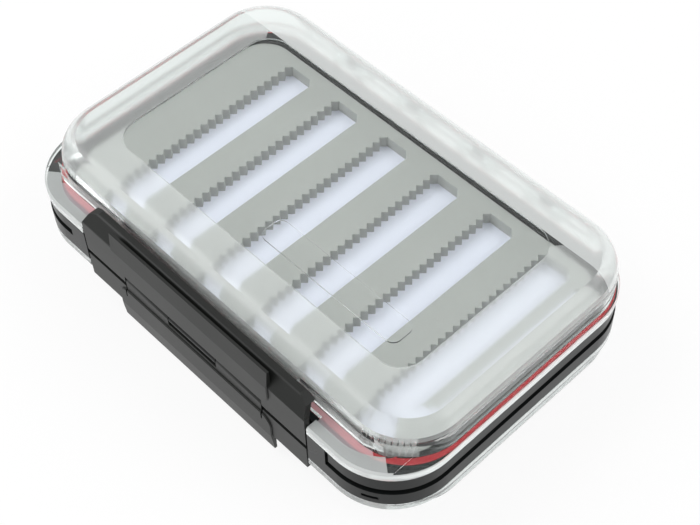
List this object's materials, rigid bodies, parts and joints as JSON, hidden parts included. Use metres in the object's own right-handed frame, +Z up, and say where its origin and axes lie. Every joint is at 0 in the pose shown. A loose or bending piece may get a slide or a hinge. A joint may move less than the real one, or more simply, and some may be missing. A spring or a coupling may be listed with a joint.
{
  "type": "fly box",
  "caption": "Clear double-sided waterproof fly box: hinged lids with front latches on a black centre frame, gasket sealed, with grey saw-toothed slit foam inside.",
  "frame": {"origin": "middle of the closed box in plan, at the height of the surface that it lies on", "axes": "+X along the latches to the right, +Y from the latches towards the hinges, +Z up through the upper lid"},
  "size_m": [0.1862, 0.1266, 0.05],
  "materials": {
    "clear_plastic": "clear and glossy, frosted on the flat round the window",
    "frame_plastic": "satin black",
    "latch_plastic": "satin black",
    "red_silicone": "smooth",
    "grey_foam": "fine closed-cell foam",
    "white_sheet": "smooth",
    "steel": "bright"
  },
  "bodies": {
    "lower_lid": {"lower_lid": "clear_plastic", "lower_hinge_pin_1": "steel", "lower_hinge_pin_2": "steel", "lower_hinge_pin_3": "steel", "lower_hinge_pin_4": "steel"},
    "centre_frame": {"centre_frame": "frame_plastic", "upper_gasket": "red_silicone", "lower_gasket": "red_silicone", "upper_foam_backing": "white_sheet", "lower_foam_backing": "white_sheet", "upper_slit_foam": "grey_foam", "lower_slit_foam": "grey_foam", "latch_pin": "steel"},
    "upper_lid": {"upper_lid": "clear_plastic", "upper_hinge_pin_1": "steel", "upper_hinge_pin_2": "steel", "upper_hinge_pin_3": "steel", "upper_hinge_pin_4": "steel"},
    "upper_latch": {"upper_latch": "latch_plastic"},
    "lower_latch": {"lower_latch": "latch_plastic"}
  },
  "joints": [
    {"name": "frame_hinge", "type": "hinge", "parent": "lower_lid", "child": "centre_frame", "pos_m": [0, 0.0604, 0.01785], "axis": [-1, 0, 0], "range_deg": [0, 135]},
    {"name": "upper_lid_hinge", "type": "hinge", "parent": "centre_frame", "child": "upper_lid", "pos_m": [0, 0.0604, 0.03215], "axis": [-1, 0, 0], "range_deg": [0, 135]},
    {"name": "upper_latch_hinge", "type": "hinge", "parent": "centre_frame", "child": "upper_latch", "pos_m": [0, -0.0605, 0.025], "axis": [1, 0, 0], "range_deg": [0, 47]},
    {"name": "lower_latch_hinge", "type": "hinge", "parent": "centre_frame", "child": "lower_latch", "pos_m": [0, -0.0605, 0.025], "axis": [-1, 0, 0], "range_deg": [0, 47]}
  ]
}
